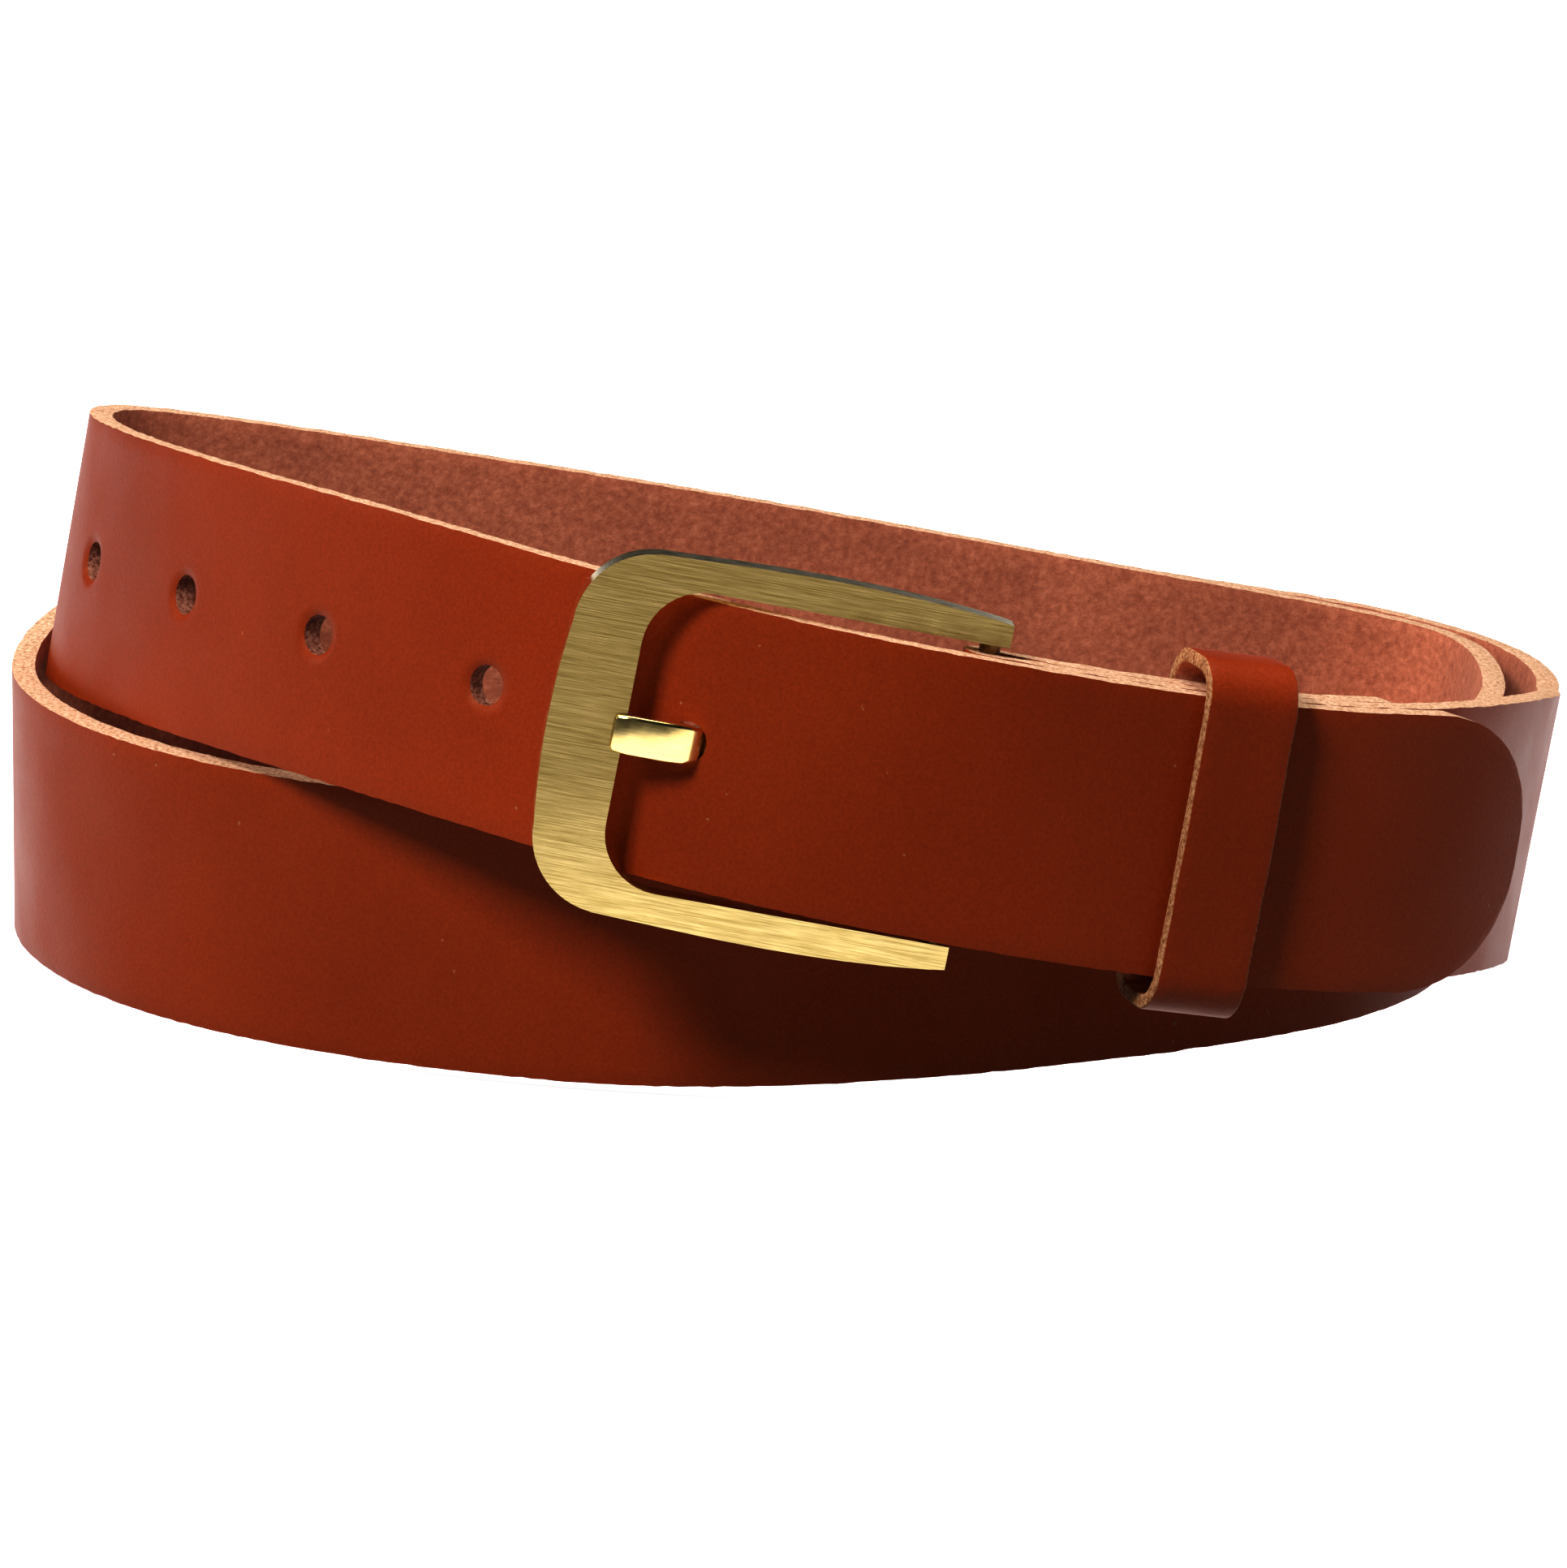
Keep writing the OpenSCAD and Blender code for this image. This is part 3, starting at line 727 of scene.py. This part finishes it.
def makeBuckle(s):
    halfWindow = (coil["strapW"] + s["windowRoom"]) / 2
    halfH = halfWindow + s["armHeight"]
    t = s["thick"] / 2
    body = addBox("buckle", (-s["armBack"], -t, -halfH), (s["length"], t, halfH))
    editSelect(body, "EDGE", lambda a, b: a.x > windowL and b.x > windowL and abs(a.z - b.z) < mm)
    bpy.ops.mesh.bevel(offset=s["cornerR"], segments=14, affect="EDGES")
    backToObject()
    window = addBox("window", (-20 * mm, -2 * t, -halfWindow), (windowL, 2 * t, halfWindow))
    editSelect(window, "EDGE", lambda a, b: a.x > 0 and b.x > 0 and abs(a.z - b.z) < mm)
    bpy.ops.mesh.bevel(offset=s["innerCornerR"], segments=10, affect="EDGES")
    backToObject()
    cutWith(body, window)
    for z in s["barCuts"]:
        editSelect(body, "FACE", lambda c, n: True)
        bpy.ops.mesh.bisect(plane_co=(0, 0, z * mm), plane_no=(0, 0, 1))
        backToObject()
    for x in s["armCuts"]:
        editSelect(body, "FACE", lambda c, n: True)
        bpy.ops.mesh.bisect(plane_co=(x * mm, 0, 0), plane_no=(1, 0, 0))
        backToObject()
    straight = halfH - s["cornerR"]
    for v in body.data.vertices:
        if v.co.x > windowL + 0.2 * mm:
            v.co.x -= s["bow"] * min(1.0, (v.co.z / straight) ** 2)
        if abs(v.co.z) > halfH - 0.01 * mm and v.co.x < windowL:
            t = (v.co.x + s["armBack"]) / (windowL + s["armBack"])
            tall = s["armEnd"] + (s["armHeight"] - s["armEnd"]) * t
            tall += s["armBulge"] * math.sin(math.pi * t ** 0.8)
            v.co.z = math.copysign(halfWindow + tall, v.co.z)

    def rim(side):
        def test(a, b):
            if a.y * side < t * 0.9 or b.y * side < t * 0.9:
                return False
            mid = (a + b) / 2
            inside = abs(mid.z) < halfWindow - 0.1 * mm and mid.x < windowL - 0.1 * mm
            if inside:
                return True
            levelEdge = abs(a.z - b.z) < 0.01 * mm and abs(a.x - b.x) > 4 * mm
            crossBar = levelEdge and abs(mid.z) < s["barCuts"][-1] * mm + 0.5 * mm
            crossArm = abs(a.x - b.x) < 0.01 * mm and -s["armBack"] + mm < mid.x < windowL - mm
            return not crossBar and not crossArm
        return test
    for side, width, cuts in ((1, s["frontRound"], 6), (-1, s["backRound"], 3)):
        editSelect(body, "EDGE", rim(side))
        bpy.ops.mesh.bevel(offset=width, segments=cuts, affect="EDGES", clamp_overlap=True)
        backToObject()
    notch = addRod("notch", (windowL + 0.2 * mm, t - s["notchDepth"], 0), (windowL + 0.2 * mm, t + 2 * mm, 0),
                   s["notchR"], 40, s["notchR"] + 0.3 * mm)
    cutWith(body, notch)
    body.data.transform(buckleFrame)
    face = Vector(buckleFrame.to_3x3() @ Vector((0, 1, 0)))
    finishPiece(body, "buckleFrame", "buckle", (brushedBrass, polishedBrass),
                nodes=("buckle_frame",), smooth=35)
    for f in body.data.polygons:
        f.material_index = 0 if f.normal.dot(face) > 0.93 else 1


makeBuckle(buckleSizes)

tongueSizes = {
    "width": 4.9 * mm,
    "neckWidth": 4.2 * mm,
    "passShift": 0.9 * mm,
    "thick": 2 * mm,
    "drop": 2.6 * mm,
    "round": 0.55 * mm,
    "eye": 3 * mm,
}


def makeTongue(s):
    toLocal = buckleFrame.inverted()
    holeIn = toLocal @ Vector(onStrap(tongueHole + s["passShift"], -coil["strapT"] / 2, 0.0))
    holeOut = toLocal @ Vector(onStrap(tongueHole + s["passShift"], coil["strapT"] / 2, 0.0))
    way = (holeOut - holeIn).normalized()
    way = Vector((way.x, way.y, 0)).normalized()
    rest = buckleSizes["thick"] / 2 - buckleSizes["notchDepth"] + 0.15 * mm
    half = s["thick"] / 2
    knee = holeIn - way * (s["drop"] + 0.6 * mm)
    tipX = windowL + 1.5 * mm
    # middle line of the bar, with its width and thickness at each place
    line = [
        (Vector((1.2 * mm, -1.5 * mm, 0)), s["neckWidth"], 2.4 * mm),
        (Vector((knee.x - 3 * mm, knee.y + 0.05 * mm, 0)), s["neckWidth"], s["thick"]),
        (knee + Vector((-0.4 * mm, 0.1 * mm, 0)), s["neckWidth"], s["thick"]),
        (holeIn, s["neckWidth"], 1.7 * mm),
        (holeOut + way * 0.2 * mm, s["neckWidth"], 1.75 * mm),
        (Vector((holeOut.x + 1.5 * mm, rest + half - 0.35 * mm, 0)), s["width"], s["thick"]),
        (Vector((holeOut.x + 3.6 * mm, rest + half, 0)), s["width"], s["thick"]),
        (Vector((tipX - 2.2 * mm, rest + half, 0)), s["width"], s["thick"]),
        (Vector((tipX - 0.6 * mm, rest + half - 0.15 * mm, 0)), s["width"] * 0.94, s["thick"] * 0.8),
        (Vector((tipX, rest + half - 0.3 * mm, 0)), s["width"] * 0.8, s["thick"] * 0.5),
    ]
    deselectAll()
    bpy.ops.mesh.primitive_plane_add(size=1)
    bar = bpy.context.object
    bpy.ops.object.mode_set(mode="EDIT")
    for i in range(len(line) - 1):
        bpy.ops.mesh.extrude_region_move(TRANSFORM_OT_translate={"value": (0, 0, 1)})
    backToObject()
    co = meshPoints(bar)
    out = co.copy()
    points = [Vector((p.x, p.y, 0)) for p, w, d in line]
    for i, (p, w, d) in enumerate(line):
        back = points[max(0, i - 1)]
        ahead = points[min(len(line) - 1, i + 1)]
        dirIn = (points[i] - back).normalized() if i else (ahead - points[i]).normalized()
        dirOut = (ahead - points[i]).normalized() if i < len(line) - 1 else dirIn
        bend = (dirIn + dirOut).normalized()
        side = Vector((-bend.y, bend.x, 0)) / max(0.6, bend.dot(dirIn))
        for k in np.nonzero(np.abs(co[:, 2] - i) < 0.01)[0]:
            up = Vector((0, 0, w / 2 * np.sign(co[k, 1])))
            out[k] = points[i] + side * (d / 2 * np.sign(co[k, 0])) + up
    setMeshPoints(bar, out)
    editSelect(bar, "FACE", lambda c, n: True)
    bpy.ops.mesh.normals_make_consistent(inside=False)
    backToObject()
    applyModifier(bar, "BEVEL", width=s["round"], segments=4,
                  limit_method="ANGLE", angle_limit=math.radians(50))
    eye = addRod("eye", (0, 0, -s["neckWidth"] / 2), (0, 0, s["neckWidth"] / 2), s["eye"], 40)
    bore = addRod("bore", (0, 0, -5 * mm), (0, 0, 5 * mm), coil["barD"] / 2 + 0.05 * mm, 40)
    cutWith(eye, bore)
    bar = joinAll([bar, eye])
    bar.data.transform(buckleFrame)
    finishPiece(bar, "tongue", "tongue", (polishedBrass,), nodes=("tongue",), smooth=30)


makeTongue(tongueSizes)

keeperSizes = {
    "width": 11.5 * mm,
    "thick": 1.8 * mm,
    "rise": 2.7 * mm,
    "place": 31 * mm,
    "air": 1 * mm,
    "cornerR": 3.4 * mm,
    "gap": 0.4 * mm,
    "edgeRound": 0.3 * mm,
    "crown": 0.35 * mm,
}


def makeKeeper(s):
    inner = returnIn - s["air"]
    outer = coil["strapT"] * 1.5 + coil["plyGap"] + s["air"]
    half = coil["strapW"] / 2 + s["rise"]
    halfX = s["width"] / 2
    loop = addBox("keeper", (-halfX, inner, -half), (halfX, outer, half))
    editSelect(loop, "EDGE", lambda a, b: abs(a.x - b.x) > mm)
    bpy.ops.mesh.bevel(offset=s["cornerR"], segments=9, affect="EDGES")
    backToObject()
    editSelect(loop, "FACE", lambda c, n: abs(n.x) > 0.9)
    bpy.ops.mesh.delete(type="FACE")
    backToObject()
    for k in range(-5, 6):
        editSelect(loop, "FACE", lambda c, n: True)
        bpy.ops.mesh.bisect(plane_co=(0, 0, k * 3 * mm), plane_no=(0, 0, 1))
        backToObject()
    for x in (-0.33, 0, 0.33):
        editSelect(loop, "FACE", lambda c, n: True)
        bpy.ops.mesh.bisect(plane_co=(x * s["width"], 0, 0), plane_no=(1, 0, 0))
        backToObject()
    for z in (-s["gap"] / 2, s["gap"] / 2):
        editSelect(loop, "FACE", lambda c, n: n.y < -0.9)
        bpy.ops.mesh.bisect(plane_co=(0, 0, z), plane_no=(0, 0, 1))
        backToObject()
    editSelect(loop, "FACE", lambda c, n: n.y < -0.9 and abs(c.z) < s["gap"] / 2)
    bpy.ops.mesh.delete(type="FACE")
    backToObject()
    for v in loop.data.vertices:
        if v.co.y > outer - 0.1 * mm:
            v.co.y += s["crown"] * (1 - (v.co.z / half) ** 2)
    applyModifier(loop, "SOLIDIFY", thickness=s["thick"], offset=1.0)
    applyModifier(loop, "BEVEL", width=s["edgeRound"], segments=3,
                  limit_method="ANGLE", angle_limit=math.radians(60))
    middle = Vector((0, (inner + outer) / 2, 0))
    loop.data.materials.clear()
    for m in (keeperGrain, flesh, keeperEdge):
        loop.data.materials.append(m)
    for f in loop.data.polygons:
        flatCentre = Vector((0, f.center.y, f.center.z)) - middle
        if abs(f.normal.x) > 0.5 or (abs(f.normal.z) > 0.9 and abs(f.center.z) < mm):
            f.material_index = 2
        else:
            f.material_index = 0 if f.normal.dot(flatCentre) > 0 else 1
    for v in loop.data.vertices:
        p = v.co * 700
        if abs(v.co.x) > halfX - 0.4 * mm:
            v.co.x += 0.12 * mm * noise.noise(p)
    loop.data.transform(frameAt(s["place"]))
    finishPiece(loop, "keeperLoop", "keeper", None, nodes=("keeper_loop",), smooth=40)


makeKeeper(keeperSizes)

# the heel bar takes the near-black painted shade brass
for name, mat in (("heel_bar", paintedShadeBrass), ("keeper_staple", steel), ("rivet_barrels", polishedBrass),
                  ("rivet_screws", polishedBrass)):
    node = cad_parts[name]
    for k in range(len(node.material_slots)):
        node.material_slots[k].material = mat

print("pieces ready")
